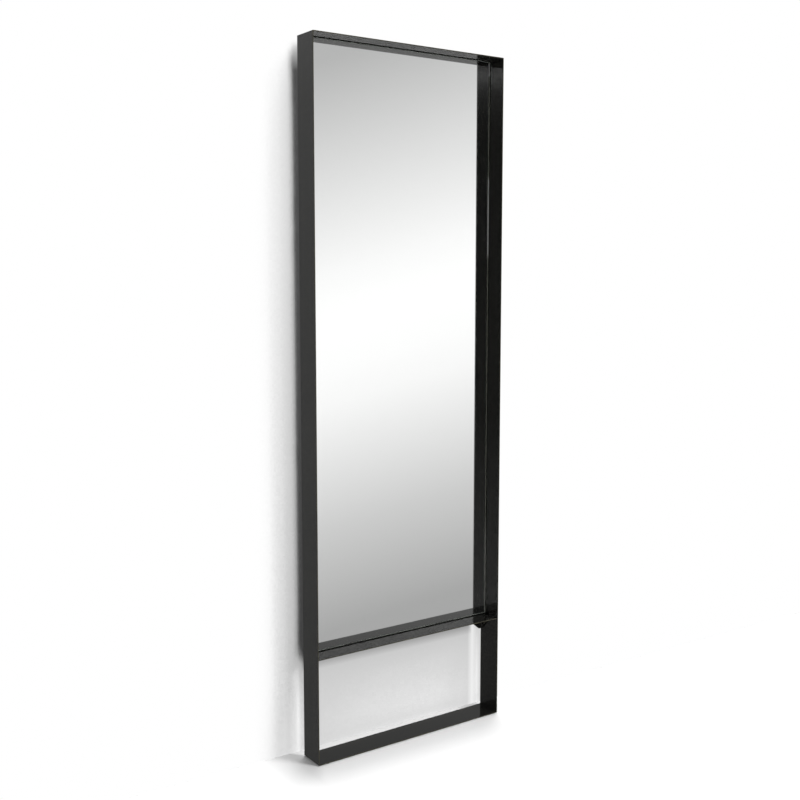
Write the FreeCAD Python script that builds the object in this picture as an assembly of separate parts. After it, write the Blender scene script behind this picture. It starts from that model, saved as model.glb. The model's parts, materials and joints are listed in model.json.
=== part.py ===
import FreeCAD, Part
import math
import os

from FreeCAD import Vector

# A full length mirror. A thin sheet steel box frame stands on the floor, the mirror is set back
# inside it, a cross shelf closes the frame under the mirror, and the frame is open below the shelf.
# Millimetres. X is the width, the front faces -Y and Z is up. The origin is on the floor, under the
# middle of the bounding box.

# Frame
FRAME_WIDTH = 550.0
FRAME_HEIGHT = 1700.0
FRAME_DEPTH = 70.0
SHEET = 2.0
SHELF_HEIGHT = 260.0  # from the underside of the frame to the top face of the shelf
EDGE_RADIUS = 0.4  # left on the sheet's long edges by deburring and coating
CORNER_RADIUS = 1.5  # ground on the four welded outer corners
MITRE_REACH = 10.0  # how far the mitre planes are carried into the frame

# Mirror pack, from the front backwards
GLASS = 4.0
GLASS_GAP = 1.2  # shadow gap between the glass and the frame, at the sides and the top
GLASS_ARRIS = 0.4
SILVERING = 0.2  # silver, paint and safety film on the back of the glass
TAPE = 1.0
TAPE_WIDTH = 25.0
TAPE_STRIPS = 4
TAPE_END_MARGIN = 80.0
BOARD = 12.0
BOARD_INSET = 0.6  # from the frame's inner faces to the board's side and top edges
BOARD_CHAMFER = 3.0  # on the board's rear edges, which clears the weld beads
BOARD_NOTCH = 64.0  # square cut from each upper corner of the board, behind the keyhole
BLOCK_HEIGHT = 1.8  # of the setting blocks, which is the gap under the glass and the board
BLOCK_LENGTH = 60.0
BLOCK_END_GAP = 1.0  # the setting blocks stop short of the glass face and of the rear plates

# Steel plates in the rear plane of the frame
WALL_PLATE = 3.0
UPPER_LEG = 110.0
UPPER_TIP = 16.0
LOWER_LEG = 44.0  # reach of the lower wall plates above and below the shelf
LOWER_TIP = 8.0
LOWER_RUN = 54.0  # length of their sloping edges along the shelf
TAB_ROOT = 64.0
TAB_TIP = 38.0
TAB_LENGTH = 36.0
SIDE_TAB_HEIGHTS = {"lower": 0.36, "upper": 0.70}  # as shares of the mirror's height

# Holes, measured from the frame's inner faces
KEYHOLE_INSET = 36.0
KEYHOLE_ENTRY_RADIUS = 6.0
KEYHOLE_SLOT_RADIUS = 3.0
KEYHOLE_TRAVEL = 12.0
WALL_SCREW_HOLE_RADIUS = 3.25
WALL_SCREW_INSET = 18.0
BOARD_SCREW_HOLE_RADIUS = 2.25
UPPER_SCREW_LONG = 86.0
UPPER_SCREW_SHORT = 22.0
LOWER_SCREW_INSET = 22.0
TAB_SCREW_INSET = 24.0

# Board screws
SCREW_RADIUS = 2.0
SCREW_LENGTH = 12.0
SCREW_POINT = 3.0
SCREW_HEAD_RADIUS = 4.0
SCREW_HEAD = 2.4
SCREW_HEAD_ROUND = 1.4
SCREW_CROSS_WIDTH = 0.9
SCREW_CROSS_LENGTH = 4.4
SCREW_CROSS_DEPTH = 1.3
PILOT_CLEARANCE = 0.05

# Rests and welds
BUMPER_RADIUS = 7.0
BUMPER = 4.0
BUMPER_ROUND = 1.2
BUMPER_CORNER_INSET = 14.0
BUMPER_SHELF_INSET = 37.0
PAD_RADIUS = 9.0
PAD = 1.5
PAD_CHAMFER = 0.3
PAD_SIDE_INSET = 26.0
PAD_EDGE_INSET = 10.0
BEAD_RADIUS = 2.0
BEAD_END_GAP = 6.0

# Planes worked out from the dimensions above
X_OUT = FRAME_WIDTH / 2
X_IN = X_OUT - SHEET
Z_BASE = PAD
Z_TOP = Z_BASE + FRAME_HEIGHT
Z_CEILING = Z_TOP - SHEET
Z_SHELF = Z_BASE + SHELF_HEIGHT
Z_UNDER_SHELF = Z_SHELF - SHEET
Y_FRONT = -(FRAME_DEPTH + BUMPER) / 2
Y_REAR = Y_FRONT + FRAME_DEPTH
Y_PLATE = Y_REAR - WALL_PLATE
Y_BOARD = Y_PLATE - BOARD
Y_TAPE = Y_BOARD - TAPE
Y_SILVER = Y_TAPE - SILVERING
Y_GLASS = Y_SILVER - GLASS
MIRROR_HEIGHT = Z_CEILING - Z_SHELF


def box(x_range, y_range, z_range):
    """A block between two values along each axis."""
    corner = Vector(x_range[0], y_range[0], z_range[0])
    return Part.makeBox(x_range[1] - x_range[0], y_range[1] - y_range[0], z_range[1] - z_range[0], corner)


def prism(outline, y_from, y_to):
    """A flat plate: an outline of (x, z) points, carried from one depth to another."""
    points = [Vector(x, y_from, z) for x, z in outline]
    face = Part.Face(Part.makePolygon(points + points[:1]))
    return face.extrude(Vector(0, y_to - y_from, 0))


def rod(x, z, radius, y_from, y_to):
    """A cylinder along the depth."""
    return Part.makeCylinder(radius, y_to - y_from, Vector(x, y_from, z), Vector(0, 1, 0))


def edges_along(shape, axis):
    """The straight edges of a shape that run along an axis."""
    found = []
    for edge in shape.Edges:
        run = edge.Vertexes[-1].Point - edge.Vertexes[0].Point
        if run.Length > 0 and run.cross(axis).Length < 1e-6 * run.Length:
            found.append(edge)
    return found


def mirrored(shape):
    """The same piece on the other side of the frame."""
    return shape.mirror(Vector(0, 0, 0), Vector(1, 0, 0))


def corner_rounding():
    """The frame's outer outline as a solid block, with its welded corners ground round."""
    block = box((-X_OUT, X_OUT), (Y_FRONT, Y_REAR), (Z_BASE, Z_TOP))
    return block.makeFillet(CORNER_RADIUS, edges_along(block, Vector(0, 1, 0)))


def level_plate(z_outer, inward):
    """The top or bottom plate, with mitred ends; inward is -1 for the top and 1 for the bottom."""
    z_range = sorted((z_outer, z_outer + inward * SHEET))
    plate = box((-X_OUT, X_OUT), (Y_FRONT, Y_REAR), z_range)
    plate = plate.makeFillet(EDGE_RADIUS, edges_along(plate, Vector(1, 0, 0)))
    z_inner = z_outer + inward * MITRE_REACH
    x_inner = X_OUT - MITRE_REACH
    outline = [(-X_OUT, z_outer), (X_OUT, z_outer), (x_inner, z_inner), (-x_inner, z_inner)]
    return plate.common(prism(outline, Y_FRONT, Y_REAR)).common(corner_rounding())


def right_side_plate():
    """The right upright, mitred at both ends."""
    plate = box((X_IN, X_OUT), (Y_FRONT, Y_REAR), (Z_BASE, Z_TOP))
    plate = plate.makeFillet(EDGE_RADIUS, edges_along(plate, Vector(0, 0, 1)))
    x_inner = X_OUT - MITRE_REACH
    outline = [(X_OUT, Z_BASE), (X_OUT, Z_TOP),
               (x_inner, Z_TOP - MITRE_REACH), (x_inner, Z_BASE + MITRE_REACH)]
    return plate.common(prism(outline, Y_FRONT, Y_REAR)).common(corner_rounding())


def cross_shelf():
    """The shelf under the mirror, butted between the uprights; the rear plates pass behind it."""
    shelf = box((-X_IN, X_IN), (Y_FRONT, Y_PLATE), (Z_UNDER_SHELF, Z_SHELF))
    return shelf.makeFillet(EDGE_RADIUS, edges_along(shelf, Vector(1, 0, 0)))


def upper_screw_places():
    """Where the right upper wall plate is screwed to the board."""
    return [(X_IN - UPPER_SCREW_LONG, Z_CEILING - UPPER_SCREW_SHORT),
            (X_IN - UPPER_SCREW_SHORT, Z_CEILING - UPPER_SCREW_LONG)]


def upper_right_wall_plate():
    """The corner plate behind the mirror, with the keyhole that hangs on a wall screw."""
    outline = [(X_IN, Z_CEILING), (X_IN - UPPER_LEG, Z_CEILING), (X_IN - UPPER_LEG, Z_CEILING - UPPER_TIP),
               (X_IN - UPPER_TIP, Z_CEILING - UPPER_LEG), (X_IN, Z_CEILING - UPPER_LEG)]
    plate = prism(outline, Y_PLATE, Y_REAR)
    x = X_IN - KEYHOLE_INSET
    z = Z_CEILING - KEYHOLE_INSET
    entry = rod(x, z, KEYHOLE_ENTRY_RADIUS, Y_PLATE, Y_REAR)
    slot = box((x - KEYHOLE_SLOT_RADIUS, x + KEYHOLE_SLOT_RADIUS), (Y_PLATE, Y_REAR), (z, z + KEYHOLE_TRAVEL))
    seat = rod(x, z + KEYHOLE_TRAVEL, KEYHOLE_SLOT_RADIUS, Y_PLATE, Y_REAR)
    holes = [entry, slot, seat]
    for hole_x, hole_z in upper_screw_places():
        holes.append(rod(hole_x, hole_z, BOARD_SCREW_HOLE_RADIUS, Y_PLATE, Y_REAR))
    return plate.cut(holes)


def lower_screw_place():
    """Where the right lower wall plate is screwed to the board."""
    return (X_IN - LOWER_SCREW_INSET, Z_SHELF + LOWER_SCREW_INSET)


def lower_right_wall_plate():
    """The plate behind the end of the shelf: a wall screw below the shelf, the board above it."""
    z_low = Z_UNDER_SHELF - LOWER_LEG
    z_high = Z_SHELF + LOWER_LEG
    x_tip = X_IN - LOWER_TIP
    x_apex = x_tip - LOWER_RUN
    outline = [(X_IN, z_low), (X_IN, z_high), (x_tip, z_high), (x_apex, Z_SHELF), (x_apex, Z_UNDER_SHELF),
               (x_tip, z_low)]
    wall_hole = rod(X_IN - WALL_SCREW_INSET, Z_UNDER_SHELF - WALL_SCREW_INSET, WALL_SCREW_HOLE_RADIUS,
                    Y_PLATE, Y_REAR)
    board_hole = rod(*lower_screw_place(), BOARD_SCREW_HOLE_RADIUS, Y_PLATE, Y_REAR)
    return prism(outline, Y_PLATE, Y_REAR).cut([wall_hole, board_hole])


def side_tab_height(level):
    """The height of the middle of a tab on an upright."""
    return Z_SHELF + SIDE_TAB_HEIGHTS[level] * MIRROR_HEIGHT


def tab_seats():
    """Each small tab: the middle of its root on a frame face, and the direction that it points in."""
    seats = {}
    for level in SIDE_TAB_HEIGHTS:
        z = side_tab_height(level)
        seats["left_" + level + "_tab"] = ((-X_IN, z), (1, 0))
        seats["right_" + level + "_tab"] = ((X_IN, z), (-1, 0))
    seats["top_centre_tab"] = ((0.0, Z_CEILING), (0, -1))
    seats["shelf_centre_tab"] = ((0.0, Z_SHELF), (0, 1))
    return seats


def tab_point(seat, reach, along):
    """A point of a tab, from its reach off the frame face and its distance along that face."""
    (x, z), (in_x, in_z) = seat
    return (x + in_x * reach + in_z * along, z + in_z * reach + in_x * along)


def tab(seat):
    """A tapered tab that one board screw passes through."""
    outline = [tab_point(seat, 0, -TAB_ROOT / 2), tab_point(seat, 0, TAB_ROOT / 2),
               tab_point(seat, TAB_LENGTH, TAB_TIP / 2), tab_point(seat, TAB_LENGTH, -TAB_TIP / 2)]
    hole = rod(*tab_point(seat, TAB_SCREW_INSET, 0), BOARD_SCREW_HOLE_RADIUS, Y_PLATE, Y_REAR)
    return prism(outline, Y_PLATE, Y_REAR).cut(hole)


def board_screw_places():
    """Every board screw, as (x, z)."""
    right = upper_screw_places() + [lower_screw_place()]
    left = [(-x, z) for x, z in right]
    tabs = [tab_point(seat, TAB_SCREW_INSET, 0) for seat in tab_seats().values()]
    return right + left + tabs


def mirror_glass():
    """The glass pane, with ground arrises on its edges."""
    x = X_IN - GLASS_GAP
    pane = box((-x, x), (Y_GLASS, Y_SILVER), (Z_SHELF + BLOCK_HEIGHT, Z_CEILING - GLASS_GAP))
    return pane.makeChamfer(GLASS_ARRIS, pane.Edges)


def mirror_silvering():
    """Silver, paint and safety film, flush with the flat of the glass's back."""
    x = X_IN - GLASS_GAP - GLASS_ARRIS
    z_low = Z_SHELF + BLOCK_HEIGHT + GLASS_ARRIS
    z_high = Z_CEILING - GLASS_GAP - GLASS_ARRIS
    return box((-x, x), (Y_SILVER, Y_TAPE), (z_low, z_high))


def mirror_tape():
    """Upright strips of double sided tape between the silvering and the board."""
    strips = []
    pitch = 2 * X_IN / TAPE_STRIPS
    for index in range(TAPE_STRIPS):
        x = -X_IN + (index + 0.5) * pitch
        strips.append(box((x - TAPE_WIDTH / 2, x + TAPE_WIDTH / 2), (Y_TAPE, Y_BOARD),
                          (Z_SHELF + TAPE_END_MARGIN, Z_CEILING - TAPE_END_MARGIN)))
    return Part.makeCompound(strips)


def backing_board():
    """The board that carries the glass and stands on the same blocks, notched behind the keyholes."""
    x = X_IN - BOARD_INSET
    z_high = Z_CEILING - BOARD_INSET
    z_notch = Z_CEILING - BOARD_NOTCH
    x_notch = X_IN - BOARD_NOTCH
    board = box((-x, x), (Y_BOARD, Y_PLATE), (Z_SHELF + BLOCK_HEIGHT, z_high))
    rear = [edge for edge in board.Edges if edge.CenterOfMass.y > Y_PLATE - EDGE_RADIUS]
    board = board.makeChamfer(BOARD_CHAMFER, rear)
    cuts = [box((x_notch, x), (Y_BOARD, Y_PLATE), (z_notch, z_high)),
            box((-x, -x_notch), (Y_BOARD, Y_PLATE), (z_notch, z_high))]
    y_pilot = Y_REAR - SCREW_LENGTH - PILOT_CLEARANCE
    for hole_x, hole_z in board_screw_places():
        cuts.append(rod(hole_x, hole_z, SCREW_RADIUS + PILOT_CLEARANCE, y_pilot, Y_PLATE))
    return board.cut(cuts)


def setting_blocks():
    """The two blocks on the shelf that the glass and the board stand on."""
    blocks = []
    for x in (-X_IN / 2, X_IN / 2):
        blocks.append(box((x - BLOCK_LENGTH / 2, x + BLOCK_LENGTH / 2),
                          (Y_GLASS + BLOCK_END_GAP, Y_PLATE - BLOCK_END_GAP),
                          (Z_SHELF, Z_SHELF + BLOCK_HEIGHT)))
    return Part.makeCompound(blocks)


def board_screw(x, z):
    """A pan head screw with a cross recess, driven forwards into the board."""
    y_head = Y_REAR + SCREW_HEAD
    head = rod(x, z, SCREW_HEAD_RADIUS, Y_REAR, y_head)
    rim = [edge for edge in head.Edges if edge.CenterOfMass.y > y_head - EDGE_RADIUS]
    head = head.makeFillet(SCREW_HEAD_ROUND, rim)
    y_point = Y_REAR - SCREW_LENGTH
    shank = rod(x, z, SCREW_RADIUS, y_point + SCREW_POINT, Y_REAR)
    point = Part.makeCone(0, SCREW_RADIUS, SCREW_POINT, Vector(x, y_point, z), Vector(0, 1, 0))
    half_wide = SCREW_CROSS_WIDTH / 2
    half_long = SCREW_CROSS_LENGTH / 2
    recess = (y_head - SCREW_CROSS_DEPTH, y_head)
    cross = [box((x - half_wide, x + half_wide), recess, (z - half_long, z + half_long)),
             box((x - half_long, x + half_long), recess, (z - half_wide, z + half_wide))]
    return head.fuse([shank, point]).removeSplitter().cut(cross)


def board_screws():
    """All the screws that hold the board to the rear plates and tabs."""
    return Part.makeCompound([board_screw(x, z) for x, z in board_screw_places()])


def wall_bumper(x, z):
    """A rubber stop on the rear face of a wall plate."""
    stop = rod(x, z, BUMPER_RADIUS, Y_REAR, Y_REAR + BUMPER)
    rim = [edge for edge in stop.Edges if edge.CenterOfMass.y > Y_REAR + BUMPER - EDGE_RADIUS]
    return stop.makeFillet(BUMPER_ROUND, rim)


def wall_bumpers():
    """One stop on each of the four wall plates."""
    stops = []
    for side in (-1, 1):
        stops.append(wall_bumper(side * (X_IN - BUMPER_CORNER_INSET), Z_CEILING - BUMPER_CORNER_INSET))
        stops.append(wall_bumper(side * (X_IN - BUMPER_SHELF_INSET), Z_SHELF - SHEET / 2))
    return Part.makeCompound(stops)


def floor_pad(x, y):
    """A thin round pad under the bottom plate."""
    pad = Part.makeCylinder(PAD_RADIUS, PAD, Vector(x, y, 0), Vector(0, 0, 1))
    rim = [edge for edge in pad.Edges if edge.CenterOfMass.z < PAD_CHAMFER]
    return pad.makeChamfer(PAD_CHAMFER, rim)


def floor_pads():
    """One pad near each corner of the bottom plate."""
    pads = []
    for x in (-X_OUT + PAD_SIDE_INSET, X_OUT - PAD_SIDE_INSET):
        for y in (Y_FRONT + PAD_EDGE_INSET, Y_REAR - PAD_EDGE_INSET):
            pads.append(floor_pad(x, y))
    return Part.makeCompound(pads)


def bead(start, end, side_a, side_b):
    """A quarter round weld bead along an inside corner, between the two faces' directions."""
    diagonal = (side_a + side_b) * (BEAD_RADIUS / math.sqrt(2))
    near_a = start + side_a * BEAD_RADIUS
    near_b = start + side_b * BEAD_RADIUS
    arc = Part.Arc(near_a, start + diagonal, near_b).toShape()
    outline = Part.Wire([Part.makeLine(start, near_a), arc, Part.makeLine(near_b, start)])
    return Part.Face(outline).extrude(end - start)


def right_weld_beads():
    """The beads on the right half: under the shelf end, and along the wall plates and tabs."""
    inward = Vector(-1, 0, 0)
    forward = Vector(0, -1, 0)
    down = Vector(0, 0, -1)
    gap = BEAD_END_GAP
    spans = [(Z_UNDER_SHELF - LOWER_LEG + gap, Z_UNDER_SHELF - gap),
             (Z_SHELF + gap, Z_SHELF + LOWER_LEG - gap),
             (Z_CEILING - UPPER_LEG + gap, Z_CEILING - gap)]
    for level in SIDE_TAB_HEIGHTS:
        z = side_tab_height(level)
        spans.append((z - TAB_ROOT / 2 + gap, z + TAB_ROOT / 2 - gap))
    beads = []
    for low, high in spans:
        beads.append(bead(Vector(X_IN, Y_PLATE, low), Vector(X_IN, Y_PLATE, high), inward, forward))
    shelf_front = Vector(X_IN, Y_FRONT + gap, Z_UNDER_SHELF)
    shelf_rear = Vector(X_IN, Y_PLATE - gap, Z_UNDER_SHELF)
    beads.append(bead(shelf_front, shelf_rear, inward, down))
    top_from = Vector(X_IN - UPPER_LEG + gap, Y_PLATE, Z_CEILING)
    top_to = Vector(X_IN - gap, Y_PLATE, Z_CEILING)
    beads.append(bead(top_from, top_to, down, forward))
    return beads


def weld_beads():
    """Every visible bead: both sides and the two tabs on the centre line."""
    right = right_weld_beads()
    left = [mirrored(piece) for piece in right]
    half = TAB_ROOT / 2 - BEAD_END_GAP
    centre = []
    for z, away in ((Z_CEILING, -1), (Z_SHELF, 1)):
        start = Vector(-half, Y_PLATE, z)
        centre.append(bead(start, Vector(half, Y_PLATE, z), Vector(0, 0, away), Vector(0, -1, 0)))
    return Part.makeCompound(right + left + centre)


def all_pieces():
    """Every node of the mirror, by name."""
    pieces = {
        "top_plate": level_plate(Z_TOP, -1),
        "bottom_plate": level_plate(Z_BASE, 1),
        "right_side_plate": right_side_plate(),
        "left_side_plate": mirrored(right_side_plate()),
        "cross_shelf": cross_shelf(),
        "upper_right_wall_plate": upper_right_wall_plate(),
        "upper_left_wall_plate": mirrored(upper_right_wall_plate()),
        "lower_right_wall_plate": lower_right_wall_plate(),
        "lower_left_wall_plate": mirrored(lower_right_wall_plate()),
        "mirror_glass": mirror_glass(),
        "mirror_silvering": mirror_silvering(),
        "mirror_tape": mirror_tape(),
        "backing_board": backing_board(),
        "setting_blocks": setting_blocks(),
        "board_screws": board_screws(),
        "wall_bumpers": wall_bumpers(),
        "floor_pads": floor_pads(),
        "weld_beads": weld_beads(),
    }
    for name, seat in tab_seats().items():
        pieces[name] = tab(seat)
    return pieces


os.makedirs("parts", exist_ok=True)
for node, shape in all_pieces().items():
    shape.exportStep("parts/" + node + ".step")
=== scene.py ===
import json
import math

import bmesh
import bpy
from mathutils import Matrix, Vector


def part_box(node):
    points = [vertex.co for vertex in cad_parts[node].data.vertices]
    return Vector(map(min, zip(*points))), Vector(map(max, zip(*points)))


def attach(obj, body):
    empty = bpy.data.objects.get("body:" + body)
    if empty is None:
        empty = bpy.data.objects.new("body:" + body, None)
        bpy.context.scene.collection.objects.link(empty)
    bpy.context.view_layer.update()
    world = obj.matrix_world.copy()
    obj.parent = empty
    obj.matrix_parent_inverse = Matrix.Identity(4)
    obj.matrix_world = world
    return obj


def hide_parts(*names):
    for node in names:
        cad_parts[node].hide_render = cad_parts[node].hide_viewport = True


# The looks of a full length mirror: gloss black sheet steel, a silvered glass pane, and the board,
# plates, screws and rests behind it. Metres, in the same frame as the solids.

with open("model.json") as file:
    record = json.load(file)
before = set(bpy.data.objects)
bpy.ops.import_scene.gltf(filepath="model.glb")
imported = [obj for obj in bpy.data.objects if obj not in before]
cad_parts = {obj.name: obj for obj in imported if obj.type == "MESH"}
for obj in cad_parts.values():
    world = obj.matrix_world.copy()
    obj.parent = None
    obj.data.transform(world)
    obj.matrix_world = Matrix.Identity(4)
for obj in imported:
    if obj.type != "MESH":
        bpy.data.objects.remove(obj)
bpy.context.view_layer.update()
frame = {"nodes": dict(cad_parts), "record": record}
nodes = frame["nodes"]

# Camera, fitted to the photograph's edges
IMAGE_SIZE = 800.0
SENSOR_WIDTH = 36.0
FOCAL_PIXELS = 1069.4
AXIS_ROW = 390.1  # the image row that the camera's axis passes through
CAMERA_PLACE = Vector((-1.5019, -2.1444, 1.1701))
CAMERA_TURN = 34.74  # degrees to the right of straight ahead
CAMERA_TILT = -6.3  # degrees above the horizon

# Where the frame's faces are
X_LEFT, Y_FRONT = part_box("left_side_plate")[0].xy
X_RIGHT, Y_REAR, Z_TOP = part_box("right_side_plate")[1]
Z_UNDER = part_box("cross_shelf")[0].z  # the shelf's underside

# Stage
STAGE_REACH = 9.0  # how far the floor and the backdrop reach each way
WALL_GAP = 0.030  # between the frame's left rear edge and the backdrop
WALL_SLOPE = 0.024  # how much nearer the backdrop comes for each metre to the right
FLOOR_WHITE = 0.95
FLOOR_GLOW = 0.02  # the floor's own light, for the camera alone

# The shade on the backdrop. Each pair is the two ends of a stretch that something fades over.
SOFT_LIGHT = (-0.25, -0.55, 0.80)  # where most of the light on the backdrop comes from
SOFT_REACH = 0.40  # how near the object has to be to take some of that light away
# Tones by the share of that light that reaches a place
WALL_SHADE = [(0.50, 0.55), (0.60, 0.63), (0.78, 0.69), (0.815, 0.79), (0.84, 0.95), (0.855, 1.0)]
SHADE_LEFT = (X_LEFT - 0.118, X_LEFT - 0.062)
SHADE_RIGHT = (X_RIGHT + 0.070, X_RIGHT + 0.015)
LOW_SHADE = 0.035  # how much less light reaches the foot of the backdrop
LOW_SHADE_TOP = 1.2  # the height that this fades out at
FOOT_SHADE = 0.018  # how much less again, close to the floor
FOOT_SHADE_TOP = 0.20
DEEPER = 0.60  # how much deeper the shade is at the lower left
DEEPER_LEFT = (X_LEFT + 0.030, X_LEFT + 0.010)
DEEPER_TOP = 1.3
CLOSE_REACH = 0.06  # how near the object has to be to leave the painted shadow line
CLOSE_LIGHT = (0.58, 0.70)  # the share of the light that the line sets in at
SHADOW_LINE_TONE = 0.12
LINE_RIGHT = (X_LEFT + 0.075, X_LEFT + 0.275)
LINE_TOP = (Z_TOP - 0.080, Z_TOP)
SHELF_SHADE = 0.40  # the tone close under the shelf
SHELF_FADE = (Z_UNDER - 0.027, Z_UNDER - 0.062)
BAY_LEFT = (X_LEFT + 0.023, X_LEFT + 0.011)
BAY_RIGHT = (X_RIGHT - 0.047, X_RIGHT - 0.019)
STRIPE_MIDDLE = X_RIGHT - 0.017  # an upright light stripe behind the right upright
STRIPE_REACH = (0.016, 0.001)  # how far off its middle, from none of it to all of it
STRIPE_LIGHT = 0.55  # how much of the shade it takes away

# The shade on the floor, in the nook between the frame and the backdrop
NOOK_TONE = 0.66
NOOK_SIDE_TONE = 0.58  # beside the frame
NOOK_LEFT = (X_LEFT - 0.145, X_LEFT - 0.005)
NOOK_RIGHT = (X_RIGHT + 0.055, X_RIGHT - 0.005)
NOOK_REAR = (Y_REAR + 0.217, Y_REAR + 0.047)
NOOK_LEAD = 0.110  # how much further to the front it reaches beside the frame
NOOK_CORNER = (X_LEFT + 0.020, X_LEFT - 0.030)

# Surroundings that the lacquer and the mirror reflect, in degrees: turns are to the right of the front.
# The lists are (elevation, brightness).
PANEL = [(-30.0, 0.34), (-17.8, 0.385), (-12.5, 0.60), (-6.0, 0.93), (-4.0, 0.98), (-2.0, 1.0), (-0.6, 0.99),
         (1.0, 0.947), (12.0, 0.462), (25.0, 0.42)]
BAND_SLANT = 0.30  # how much the panel's bright band rises for each degree to the right
SLANT_LIMIT = 8.0  # how far to each side of the camera's own turn it slants
DARK_SIDE = [(-45.0, 0.85), (-28.0, 0.62), (-17.0, 0.38), (-8.0, 0.10), (7.0, 0.08), (8.7, 0.16),
             (9.5, 0.36), (10.0, 1.1), (10.15, 1.5), (10.3, 1.5), (10.5, 0.10), (14.0, 0.10), (19.0, 0.80)]
DARK_TURN = (-12.0, -30.0)  # from the panel to the dark side
REAR = [(-26.0, 0.31), (-17.0, 0.36), (-10.0, 0.43), (0.0, 0.48), (9.0, 0.56), (14.0, 0.80), (25.0, 0.60)]
REAR_TURN = (75.0, 110.0)  # from the front to the rear, on both sides
REAR_BRIGHT = -152.0  # the turn at which the rear is brightest
REAR_SPREAD = (12.0, 4.0)  # how far off that turn, from dim to bright
REAR_DIM = 0.5  # its brightness elsewhere
MIRROR_RETURN = 0.955  # the share of the light that the pane and the silver give back
AMBIENT = 0.30  # the even light on everything
WHITE = (1.0, 1.0, 1.0, 1.0)

# Lacquer
FRAME_IOR = 1.40
TOP_SHADE_IOR = 1.11  # the top plate's copy of the lacquer reflects less, as painted shade
FRONT_EDGE = 0.0006  # the depth of the front edges that carry the painted highlight

# The pane's upright edges: painted shade, with stretches of painted light, as (middle, half length,
# lightness)
GLASS_IOR = 1.52
EDGE_PAINTED_SHADE = (0.25, 0.26, 0.21, 1.0)
EDGE_PAINTED_LIGHT = (1.0, 1.0, 0.97, 1.0)
EDGE_GROUND = (0.74, 0.80, 0.74, 1.0)  # the edges along its top and bottom
PAINTED_LIGHT_STRETCHES = [(1.310, 0.110, 1.0), (1.680, 0.018, 1.0), (0.300, 0.220, 0.4)]
PAINTED_LIGHT_CORE = 0.8  # the share of a half length that takes the full painted light

# The silver on the pane's back face, and the film behind it
SILVER = (0.970, 0.972, 0.968, 1.0)
SILVER_DEPTH = 0.0001  # the back of the pane, where it is silvered
FILM_GAP = 0.00005  # between the pane's back face and the film
FILM_CORNER = 0.003  # the radius of its corners
FILM_CORNER_STEPS = 6
FILM_WAVER = 0.0006  # how far its edge wavers at most
FILM_WAVES = [(0.35, 1.7, 0.0), (0.15, 5.3, 1.0)]  # share, radians for each step, radians at the start

# The part of a surface normal along one axis, above which a face counts as facing that way
FLAT_FACE = 0.9  # leaves out the pane's arrises
SQUARE_FACE = 0.5

# Where most of a noise's values lie
NOISE_SPAN = (0.3, 0.7)
NARROW_SPAN = (0.35, 0.65)

# The sockets of the colour form of Blender's Mix node, which have no names of their own
MIX_SHARE = 0
MIX_FIRST = 6
MIX_SECOND = 7
MIX_RESULT = 2


class Graph:
    """A node tree that is filled with short calls."""

    def __init__(self, tree):
        tree.nodes.clear()
        self.tree = tree

    def put(self, socket, value):
        """Links a socket, or sets a plain value on it."""
        if isinstance(value, bpy.types.NodeSocket):
            self.tree.links.new(value, socket)
        else:
            socket.default_value = value

    def node(self, kind, inputs=(), **settings):
        """A node with its settings and inputs."""
        made = self.tree.nodes.new("ShaderNode" + kind)
        for name, value in settings.items():
            setattr(made, name, value)
        for socket, value in dict(inputs).items():
            self.put(made.inputs[socket], value)
        return made

    def place(self):
        """Where a point of the surface is, in metres."""
        return self.node("TexCoord").outputs["Object"]

    def axes(self, vector):
        """The three parts of a vector, called X, Y and Z."""
        return self.node("SeparateXYZ", {"Vector": vector}).outputs

    def facing(self):
        """The three parts of the surface normal."""
        return self.axes(self.node("NewGeometry").outputs["Normal"])

    def math(self, operation, *values):
        """A number worked out from other numbers."""
        made = self.node("Math", operation=operation)
        for socket, value in zip(made.inputs, values):
            self.put(socket, value)
        return made.outputs[0]

    def spread(self, value, low, high, to_low=0.0, to_high=1.0, smooth=False):
        """A number carried from one range to another, and held at its ends."""
        kind = "SMOOTHSTEP" if smooth else "LINEAR"
        inputs = {"Value": value, "From Min": low, "From Max": high, "To Min": to_low, "To Max": to_high}
        return self.node("MapRange", inputs, interpolation_type=kind).outputs[0]

    def blend(self, share, first, second):
        """A colour between two colours."""
        inputs = {MIX_SHARE: share, MIX_FIRST: first, MIX_SECOND: second}
        return self.node("Mix", inputs, data_type="RGBA").outputs[MIX_RESULT]

    def curve(self, value, stops):
        """A brightness that follows (place, brightness) stops."""
        low = stops[0][0]
        high = stops[-1][0]
        ramp = self.node("ValToRGB", {"Fac": self.spread(value, low, high)})
        elements = ramp.color_ramp.elements
        while len(elements) < len(stops):
            elements.new(0.5)  # its real place is set below
        for element, (place, bright) in zip(elements, stops):
            element.position = (place - low) / (high - low)
            element.color = (bright, bright, bright, 1.0)
        return ramp.outputs["Color"]

    def noise(self, place, scale, detail=2.0, roughness=0.5):
        """Smooth noise from 0 to 1."""
        inputs = {"Vector": place, "Scale": scale, "Detail": detail, "Roughness": roughness}
        return self.node("TexNoise", inputs).outputs["Fac"]

    def bump(self, height, depth):
        """A surface normal from a height between 0 and 1, with its depth in metres."""
        inputs = {"Height": height, "Distance": depth, "Strength": 1.0}
        return self.node("Bump", inputs).outputs["Normal"]


def blank_material(name):
    """A new material and its empty graph."""
    made = bpy.data.materials.new(name)
    made.use_nodes = True
    return made, Graph(made.node_tree)


def material(name):
    """A new material, its graph and its shader."""
    made, graph = blank_material(name)
    shader = graph.node("BsdfPrincipled")
    graph.node("OutputMaterial", {"Surface": shader.outputs[0]})
    return made, graph, shader


def shader_inputs(graph, shader, **values):
    """Sets the shader's sockets, whose names are written here with underscores."""
    for name, value in values.items():
        graph.put(shader.inputs[name.replace("_", " ")], value)


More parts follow.
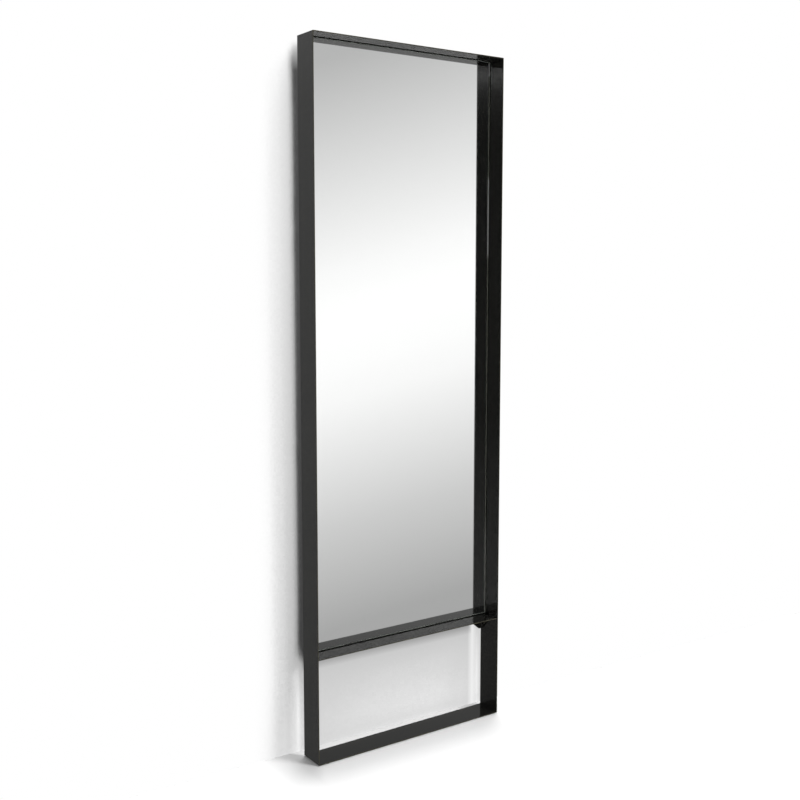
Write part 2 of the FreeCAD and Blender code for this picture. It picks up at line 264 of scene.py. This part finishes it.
def lacquer(name, ior):
    """Gloss black lacquer: faint orange peel, clouded tone, and a painted warm highlight in patches on the
    front edges.
    """
    made, graph, shader = material(name)
    place = graph.place()
    deep = (0.0092, 0.0092, 0.0080, 1.0)
    soft = (0.0134, 0.0134, 0.0116, 1.0)
    # painted highlight: a warm, lighter tone on the front edges, in patches
    edge_highlight = (0.062, 0.058, 0.038, 1.0)
    tone = graph.blend(graph.noise(place, scale=9.0, detail=4.0), deep, soft)
    front = graph.math("LESS_THAN", graph.axes(place)["Y"], Y_FRONT + FRONT_EDGE)
    highlight_patches = graph.spread(graph.noise(place, scale=60.0), *NARROW_SPAN, to_low=0.5, to_high=1.0)
    colour = graph.blend(graph.math("MULTIPLY", front, highlight_patches), tone, edge_highlight)
    haze = graph.noise(place, scale=35.0, detail=5.0)
    rough = graph.spread(haze, *NOISE_SPAN, to_low=0.055, to_high=0.085)
    peel = graph.bump(graph.noise(place, scale=420.0, detail=1.0), depth=0.000012)
    shader_inputs(graph, shader, Base_Color=colour, Roughness=rough, Normal=peel, IOR=ior)
    return made


def edge_light_and_shade(graph, height):
    """The pane's upright edges by height: painted shade, with painted light in a few stretches."""
    # clear is the share of painted light at this height
    clear = 0.0
    for middle, half, most in PAINTED_LIGHT_STRETCHES:
        off = graph.math("ABSOLUTE", graph.math("SUBTRACT", height, middle))
        clear = graph.math("MAXIMUM", clear, graph.spread(off, half, half * PAINTED_LIGHT_CORE, 0.0, most))
    return graph.blend(clear, EDGE_PAINTED_SHADE, EDGE_PAINTED_LIGHT)


def glass():
    """Clear float glass with frosted, ground edges, painted light and shade on its upright edges, and silver
    on its back face.
    """
    made, graph, shader = material("float_glass")
    place = graph.place()
    parts = graph.axes(place)
    facing = graph.facing()
    edge = graph.math("LESS_THAN", graph.math("ABSOLUTE", facing["Y"]), FLAT_FACE)
    upright = graph.math("GREATER_THAN", graph.math("ABSOLUTE", facing["X"]), SQUARE_FACE)
    silver = graph.math("GREATER_THAN", parts["Y"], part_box("mirror_glass")[1].y - SILVER_DEPTH)
    clear_tint = (0.994, 0.998, 0.996, 1.0)
    # the upright edges take painted light and shade by height
    edge_colour = graph.blend(upright, EDGE_GROUND, edge_light_and_shade(graph, parts["Z"]))
    colour = graph.blend(silver, graph.blend(edge, clear_tint, edge_colour), SILVER)
    grind = graph.noise(place, scale=900.0, detail=3.0)
    rough = graph.math("MULTIPLY", edge, graph.spread(grind, *NOISE_SPAN, to_low=0.30, to_high=0.50))
    clear = graph.math("SUBTRACT", 1.0, graph.math("MAXIMUM", silver, edge))
    shader_inputs(graph, shader, Base_Color=colour, Roughness=rough, IOR=GLASS_IOR)
    shader_inputs(graph, shader, Metallic=silver, Transmission_Weight=clear)
    return made


def silvering():
    """Silver on the side of the glass, and grey safety paint behind it."""
    made, graph, shader = material("mirror_silver")
    silver = graph.math("LESS_THAN", graph.facing()["Y"], -SQUARE_FACE)
    streaks = graph.node("Mapping", {"Vector": graph.place(), "Scale": (60.0, 60.0, 4.0)}).outputs[0]
    dark_grey = (0.16, 0.18, 0.20, 1.0)
    light_grey = (0.24, 0.26, 0.28, 1.0)
    paint = graph.blend(graph.noise(streaks, scale=6.0, detail=4.0), dark_grey, light_grey)
    colour = graph.blend(silver, paint, SILVER)
    rough = graph.spread(silver, 0.0, 1.0, to_low=0.55, to_high=0.0)
    shader_inputs(graph, shader, Base_Color=colour, Metallic=silver, Roughness=rough)
    return made


def board():
    """Raw fibreboard: clouded brown, pressed fibre flecks, darker sawn edges."""
    made, graph, shader = material("fibreboard")
    place = graph.place()
    brown = (0.205, 0.135, 0.082, 1.0)
    light_brown = (0.265, 0.182, 0.114, 1.0)
    dark_fibre = (0.120, 0.074, 0.042, 1.0)
    pale_fibre = (0.40, 0.30, 0.20, 1.0)
    sawn_brown = (0.115, 0.070, 0.040, 1.0)
    sawn_share = 0.6
    cloud = graph.spread(graph.noise(place, scale=7.0, detail=5.0, roughness=0.6), *NOISE_SPAN)
    fleck = graph.spread(graph.noise(place, scale=520.0, detail=4.0, roughness=0.7), low=0.55, high=0.75)
    pale = graph.spread(graph.noise(place, scale=310.0, detail=3.0, roughness=0.6), low=0.62, high=0.80)
    tone = graph.blend(fleck, graph.blend(cloud, brown, light_brown), dark_fibre)
    tone = graph.blend(pale, tone, pale_fibre)
    sawn = graph.math("LESS_THAN", graph.math("ABSOLUTE", graph.facing()["Y"]), SQUARE_FACE)
    colour = graph.blend(graph.math("MULTIPLY", sawn, sawn_share), tone, sawn_brown)
    rough = graph.spread(fleck, 0.0, 1.0, to_low=0.62, to_high=0.80)
    fibre = graph.bump(graph.noise(place, scale=700.0, detail=4.0, roughness=0.7), depth=0.00012)
    shader_inputs(graph, shader, Base_Color=colour, Roughness=rough, Normal=fibre)
    return made


def tape():
    """White foam tape with a fine cell."""
    made, graph, shader = material("foam_tape")
    cells = graph.node("TexVoronoi", {"Vector": graph.place(), "Scale": 1800.0}).outputs["Distance"]
    white = (0.80, 0.80, 0.78, 1.0)
    grey = (0.62, 0.62, 0.60, 1.0)
    foam = graph.bump(cells, depth=0.0002)
    shader_inputs(graph, shader, Base_Color=graph.blend(cells, white, grey), Roughness=0.7, Normal=foam)
    return made


def block_plastic():
    """Matt black setting block, faintly mottled."""
    made, graph, shader = material("block_plastic")
    mottle = graph.noise(graph.place(), scale=240.0, detail=4.0)
    black = (0.016, 0.016, 0.017, 1.0)
    soft_black = (0.030, 0.030, 0.031, 1.0)
    colour = graph.blend(mottle, black, soft_black)
    rough = graph.spread(mottle, *NOISE_SPAN, to_low=0.42, to_high=0.58)
    grain = graph.bump(mottle, depth=0.0001)
    shader_inputs(graph, shader, Base_Color=colour, Roughness=rough, Normal=grain)
    return made


def zinc():
    """Zinc plated steel, clouded, with a finely uneven gloss."""
    made, graph, shader = material("zinc_plate")
    place = graph.place()
    blue_grey = (0.52, 0.53, 0.55, 1.0)
    bright_grey = (0.70, 0.70, 0.68, 1.0)
    colour = graph.blend(graph.noise(place, scale=500.0, detail=3.0), blue_grey, bright_grey)
    haze = graph.noise(place, scale=1400.0, detail=2.0)
    rough = graph.spread(haze, *NOISE_SPAN, to_low=0.26, to_high=0.42)
    shader_inputs(graph, shader, Base_Color=colour, Metallic=1.0, Roughness=rough)
    return made


def rubber():
    """Matt black rubber with a fine grain."""
    made, graph, shader = material("bumper_rubber")
    place = graph.place()
    black = (0.014, 0.014, 0.015, 1.0)
    soft_black = (0.030, 0.030, 0.031, 1.0)
    colour = graph.blend(graph.noise(place, scale=180.0), black, soft_black)
    grain = graph.noise(place, scale=1500.0, detail=3.0)
    rough = graph.spread(grain, *NOISE_SPAN, to_low=0.55, to_high=0.72)
    skin = graph.bump(grain, depth=0.00008)
    shader_inputs(graph, shader, Base_Color=colour, Roughness=rough, Normal=skin)
    return made


def felt():
    """Dark pressed felt with mixed fibres."""
    made, graph, shader = material("dark_felt")
    fibres = graph.noise(graph.place(), scale=1100.0, detail=6.0, roughness=0.75)
    dark_fibre = (0.030, 0.030, 0.032, 1.0)
    grey_fibre = (0.085, 0.085, 0.088, 1.0)
    colour = graph.blend(graph.spread(fibres, *NARROW_SPAN), dark_fibre, grey_fibre)
    nap = graph.bump(fibres, depth=0.0004)
    shader_inputs(graph, shader, Base_Color=colour, Roughness=0.95, Normal=nap, Sheen_Weight=0.3)
    return made


def add_object(name, data):
    """A new object in the scene."""
    made = bpy.data.objects.new(name, data)
    bpy.context.scene.collection.objects.link(made)
    return made


def edge_waver(step):
    """How far the film's edge stops short of its nominal line at a step round its outline."""
    waves = [share * math.sin(turn * step + start) for share, turn, start in FILM_WAVES]
    return FILM_WAVER * (0.5 + sum(waves))


def film_outline():
    """The film's outline: a rectangle with round corners and a slightly uneven edge."""
    low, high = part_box("mirror_silvering")
    middle = (low + high) / 2
    half_x = (high.x - low.x) / 2 - FILM_CORNER
    half_z = (high.z - low.z) / 2 - FILM_CORNER
    points = []
    for quarter, (side_x, side_z) in enumerate(((1, 1), (-1, 1), (-1, -1), (1, -1))):
        for step in range(FILM_CORNER_STEPS + 1):
            angle = math.radians(90.0 * (quarter + step / FILM_CORNER_STEPS))
            radius = FILM_CORNER - edge_waver(len(points))
            points.append((middle.x + side_x * half_x + radius * math.cos(angle),
                           middle.z + side_z * half_z + radius * math.sin(angle)))
    return points


def safety_film(finish):
    """Silver, paint and safety film behind the glass, a hair's breadth off the pane's back face."""
    low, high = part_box("mirror_silvering")
    mesh = bpy.data.meshes.new("safety_film")
    build = bmesh.new()
    front = [build.verts.new((x, low.y + FILM_GAP, z)) for x, z in film_outline()]
    rear = [build.verts.new((x, high.y, z)) for x, z in film_outline()]
    build.faces.new(front)
    build.faces.new(rear[::-1])
    for index, corner in enumerate(front):
        before = index - 1
        build.faces.new((front[before], corner, rear[index], rear[before]))
    bmesh.ops.recalc_face_normals(build, faces=build.faces)
    build.to_mesh(mesh)
    build.free()
    mesh.materials.append(finish)
    film = add_object("safety_film", mesh)
    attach(film, "root")
    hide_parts("mirror_silvering")


def dress(name, finish):
    """Gives a node its finish, in place of the plain one that it came with."""
    mesh = nodes[name].data
    mesh.materials.clear()
    mesh.materials.append(finish)


def dress_all():
    """The finish of every node, by the record's material slots."""
    finishes = {"frame_lacquer": lacquer("gloss_black_lacquer", FRAME_IOR), "mirror_glass": glass(),
                "mirror_back": silvering(), "tape": tape(), "board": board(),
                "block_plastic": block_plastic(), "screw_zinc": zinc(), "bumper_rubber": rubber(),
                "pad_felt": felt()}
    # a copy of the lacquer that reflects less: painted shade on the top plate
    top_shaded_finish = lacquer("top_plate_shaded_lacquer", TOP_SHADE_IOR)
    for row in frame["record"]["subparts"]:
        name = row["node"]
        slot = row["material_slot"]
        dress(name, top_shaded_finish if name == "top_plate" else finishes[slot])
    safety_film(finishes["mirror_back"])


def sheet_object(name, corners, finish):
    """A flat four cornered sheet of the stage."""
    mesh = bpy.data.meshes.new(name)
    build = bmesh.new()
    build.faces.new([build.verts.new(corner) for corner in corners])
    build.to_mesh(mesh)
    build.free()
    mesh.materials.append(finish)
    made = add_object(name, mesh)
    return made


def floor_tone(graph):
    """The tone of the floor by place: white, with painted shade in the nook between the frame and the
    backdrop.
    """
    place = graph.axes(graph.place())
    across = place["X"]
    depth = place["Y"]
    start = graph.spread(across, *NOOK_CORNER, Y_FRONT, Y_FRONT - NOOK_LEAD)
    along = graph.math("MULTIPLY", graph.spread(across, *NOOK_LEFT, smooth=True),
                       graph.spread(across, *NOOK_RIGHT, smooth=True))
    deep = graph.math("MULTIPLY", graph.spread(depth, start, Y_REAR, smooth=True),
                      graph.spread(depth, *NOOK_REAR, smooth=True))
    shaded = graph.spread(across, *NOOK_CORNER, NOOK_TONE, NOOK_SIDE_TONE)
    return graph.spread(graph.math("MULTIPLY", along, deep), 0.0, 1.0, FLOOR_WHITE, shaded)


def floor_paper():
    """White paper that takes shadows, with painted shade in the nook behind the frame."""
    made, graph = blank_material("floor_paper")
    shown = graph.node("LightPath").outputs["Is Camera Ray"]
    paper = graph.node("BsdfDiffuse", {"Color": floor_tone(graph)})
    light = graph.node("Emission", {"Strength": graph.math("MULTIPLY", shown, FLOOR_GLOW)})
    lit = graph.node("AddShader", {0: paper.outputs[0], 1: light.outputs[0]})
    graph.node("OutputMaterial", {"Surface": lit.outputs[0]})
    return made


def wide_shade(graph, across, height):
    """The tone of the wide soft shade: deeper at the lower left, weaker in the stripe, none off the sides."""
    towards = graph.node("CombineXYZ", dict(enumerate(SOFT_LIGHT))).outputs[0]
    soft = graph.node("AmbientOcclusion", {"Distance": SOFT_REACH, "Normal": towards}).outputs["AO"]
    lower = graph.math("ADD", graph.spread(height, 0.0, LOW_SHADE_TOP, LOW_SHADE, 0.0),
                       graph.spread(height, 0.0, FOOT_SHADE_TOP, FOOT_SHADE, 0.0))
    tone = graph.curve(graph.math("SUBTRACT", soft, lower), WALL_SHADE)
    sides = graph.math("MULTIPLY", graph.spread(across, *SHADE_LEFT), graph.spread(across, *SHADE_RIGHT))
    off_stripe = graph.math("ABSOLUTE", graph.math("SUBTRACT", across, STRIPE_MIDDLE))
    sides = graph.math("MULTIPLY", sides, graph.spread(off_stripe, *STRIPE_REACH, 1.0, 1.0 - STRIPE_LIGHT))
    deeper = graph.math("MULTIPLY", graph.spread(across, *DEEPER_LEFT, 0.0, DEEPER),
                        graph.spread(height, 0.0, DEEPER_TOP, 1.0, 0.0))
    depth = graph.math("MULTIPLY", sides, graph.math("ADD", deeper, 1.0))
    return graph.math("SUBTRACT", 1.0, graph.math("MULTIPLY", graph.math("SUBTRACT", 1.0, tone), depth))


def close_shadow_line(graph, across, height):
    """The painted shadow line on the backdrop along the frame's left rear edge."""
    close = graph.node("AmbientOcclusion", {"Distance": CLOSE_REACH}).outputs["AO"]
    away = graph.math("MAXIMUM", graph.spread(across, *LINE_RIGHT), graph.spread(height, *LINE_TOP))
    return graph.math("MAXIMUM", graph.spread(close, *CLOSE_LIGHT, SHADOW_LINE_TONE, 1.0), away)


def shelf_shade(graph, across, height):
    """The tone of the shade close under the shelf, as seen through the open bay."""
    beside = graph.math("MAXIMUM", graph.spread(across, *BAY_LEFT), graph.spread(across, *BAY_RIGHT))
    above = graph.math("GREATER_THAN", height, Z_UNDER)
    tone = graph.spread(height, *SHELF_FADE, SHELF_SHADE, 1.0)
    return graph.math("MAXIMUM", tone, graph.math("MAXIMUM", beside, above))


def wall_paper():
    """A white backdrop that the object close in front of it shades, and that is clear from behind."""
    made, graph = blank_material("wall_paper")
    place = graph.axes(graph.place())
    where = (place["X"], place["Z"])
    shade = graph.math("MULTIPLY", close_shadow_line(graph, *where), shelf_shade(graph, *where))
    shade = graph.math("MULTIPLY", wide_shade(graph, *where), shade)
    light = graph.node("Emission", {"Strength": shade})
    behind = graph.node("NewGeometry").outputs["Backfacing"]
    clear = graph.node("BsdfTransparent")
    surface = graph.node("MixShader", {0: behind, 1: light.outputs[0], 2: clear.outputs[0]})
    graph.node("OutputMaterial", {"Surface": surface.outputs[0]})
    return made


def wall_place(x):
    """How far back the backdrop stands at x."""
    return Y_REAR + WALL_GAP - WALL_SLOPE * (x - X_LEFT)


def build_stage():
    """A pale floor, and close behind the mirror a pale backdrop that only the camera sees."""
    reach = STAGE_REACH
    floor_corners = [(-reach, -reach, 0), (reach, -reach, 0), (reach, reach, 0), (-reach, reach, 0)]
    left = (-reach, wall_place(-reach))
    right = (reach, wall_place(reach))
    wall_corners = [(*left, 0), (*right, 0), (*right, reach), (*left, reach)]
    floor = sheet_object("stage_floor", floor_corners, floor_paper())
    wall = sheet_object("stage_wall", wall_corners, wall_paper())
    for flag in ("visible_glossy", "visible_transmission", "visible_shadow"):
        setattr(floor, flag, False)
        setattr(wall, flag, False)
    wall.visible_diffuse = False


def surroundings(graph):
    """What a reflecting surface sees: a slanted bright band at the front right and a dark front left."""
    axes = graph.axes(graph.node("TexCoord").outputs["Generated"])
    rise = graph.math("DEGREES", graph.math("ARCSINE", axes["Z"]))
    ahead = graph.math("MULTIPLY", axes["Y"], -1.0)
    turn = graph.math("DEGREES", graph.math("ARCTAN2", axes["X"], ahead))
    aside = graph.math("SUBTRACT", turn, CAMERA_TURN)
    most = SLANT_LIMIT * BAND_SLANT
    slant = graph.spread(aside, -SLANT_LIMIT, SLANT_LIMIT, -most, most)
    panel = graph.curve(graph.math("SUBTRACT", rise, slant), PANEL)
    dark = graph.spread(turn, *DARK_TURN, smooth=True)
    front = graph.blend(dark, panel, graph.curve(rise, DARK_SIDE))
    behind = graph.spread(graph.math("ABSOLUTE", turn), *REAR_TURN, smooth=True)
    off_bright = graph.math("COSINE", graph.math("RADIANS", graph.math("SUBTRACT", turn, REAR_BRIGHT)))
    far, near = [math.cos(math.radians(angle)) for angle in REAR_SPREAD]
    lift = graph.spread(off_bright, far, near, REAR_DIM, 1.0)
    rear = graph.node("VectorMath", {0: graph.curve(rise, REAR), 1: lift}, operation="MULTIPLY")
    return graph.blend(behind, front, rear.outputs[0])


def build_world():
    """White for the camera, the surroundings for reflections, and an even soft light for everything else."""
    world = bpy.data.worlds.new("studio")
    bpy.context.scene.world = world
    world.use_nodes = True
    graph = Graph(world.node_tree)
    path = graph.node("LightPath").outputs
    mirrored = graph.math("MAXIMUM", path["Is Glossy Ray"], path["Is Transmission Ray"])
    seen = graph.node("Background", {"Color": surroundings(graph), "Strength": 1.0 / MIRROR_RETURN})
    soft = graph.node("Background", {"Color": WHITE, "Strength": AMBIENT})
    white = graph.node("Background", {"Color": WHITE, "Strength": 1.0})
    light = graph.node("MixShader", {0: mirrored, 1: soft.outputs[0], 2: seen.outputs[0]})
    shown = graph.node("MixShader", {0: path["Is Camera Ray"], 1: light.outputs[0], 2: white.outputs[0]})
    graph.node("OutputWorld", {"Surface": shown.outputs[0]})


def add_lamp(name, turn, rise, strength, softness):
    """A distant soft lamp: turn is degrees to the right of the front, rise degrees above the horizon."""
    data = bpy.data.lights.new(name, "SUN")
    data.energy = strength
    data.angle = math.radians(softness)
    lamp = add_object(name, data)
    across = math.radians(turn)
    up = math.radians(rise)
    source = Vector((math.sin(across) * math.cos(up), -math.cos(across) * math.cos(up), math.sin(up)))
    lamp.rotation_euler = source.to_track_quat("Z", "Y").to_euler()
    lamp.visible_glossy = False
    lamp.visible_transmission = False


def add_lamps():
    """Soft light from both sides of the front, from above, and from behind."""
    add_lamp("front_right_lamp", turn=34.0, rise=45.0, strength=1.7, softness=16.0)
    add_lamp("front_left_lamp", turn=-38.0, rise=30.0, strength=0.2, softness=24.0)
    add_lamp("overhead_lamp", turn=140.0, rise=86.6, strength=1.3, softness=4.5)
    add_lamp("rear_lamp", turn=160.0, rise=40.0, strength=0.35, softness=60.0)


def add_camera():
    """The photograph's viewpoint: to the left of the mirror, looking slightly down."""
    data = bpy.data.cameras.new("photo_camera")
    data.sensor_width = SENSOR_WIDTH
    data.lens = SENSOR_WIDTH * FOCAL_PIXELS / IMAGE_SIZE
    data.shift_y = (AXIS_ROW - IMAGE_SIZE / 2) / IMAGE_SIZE
    camera = add_object("photo_camera", data)
    camera.location = CAMERA_PLACE
    camera.rotation_euler = (math.radians(90 + CAMERA_TILT), 0.0, math.radians(-CAMERA_TURN))
    bpy.context.scene.camera = camera


bpy.context.scene.view_settings.view_transform = "Standard"
dress_all()
build_stage()
build_world()
add_lamps()
add_camera()
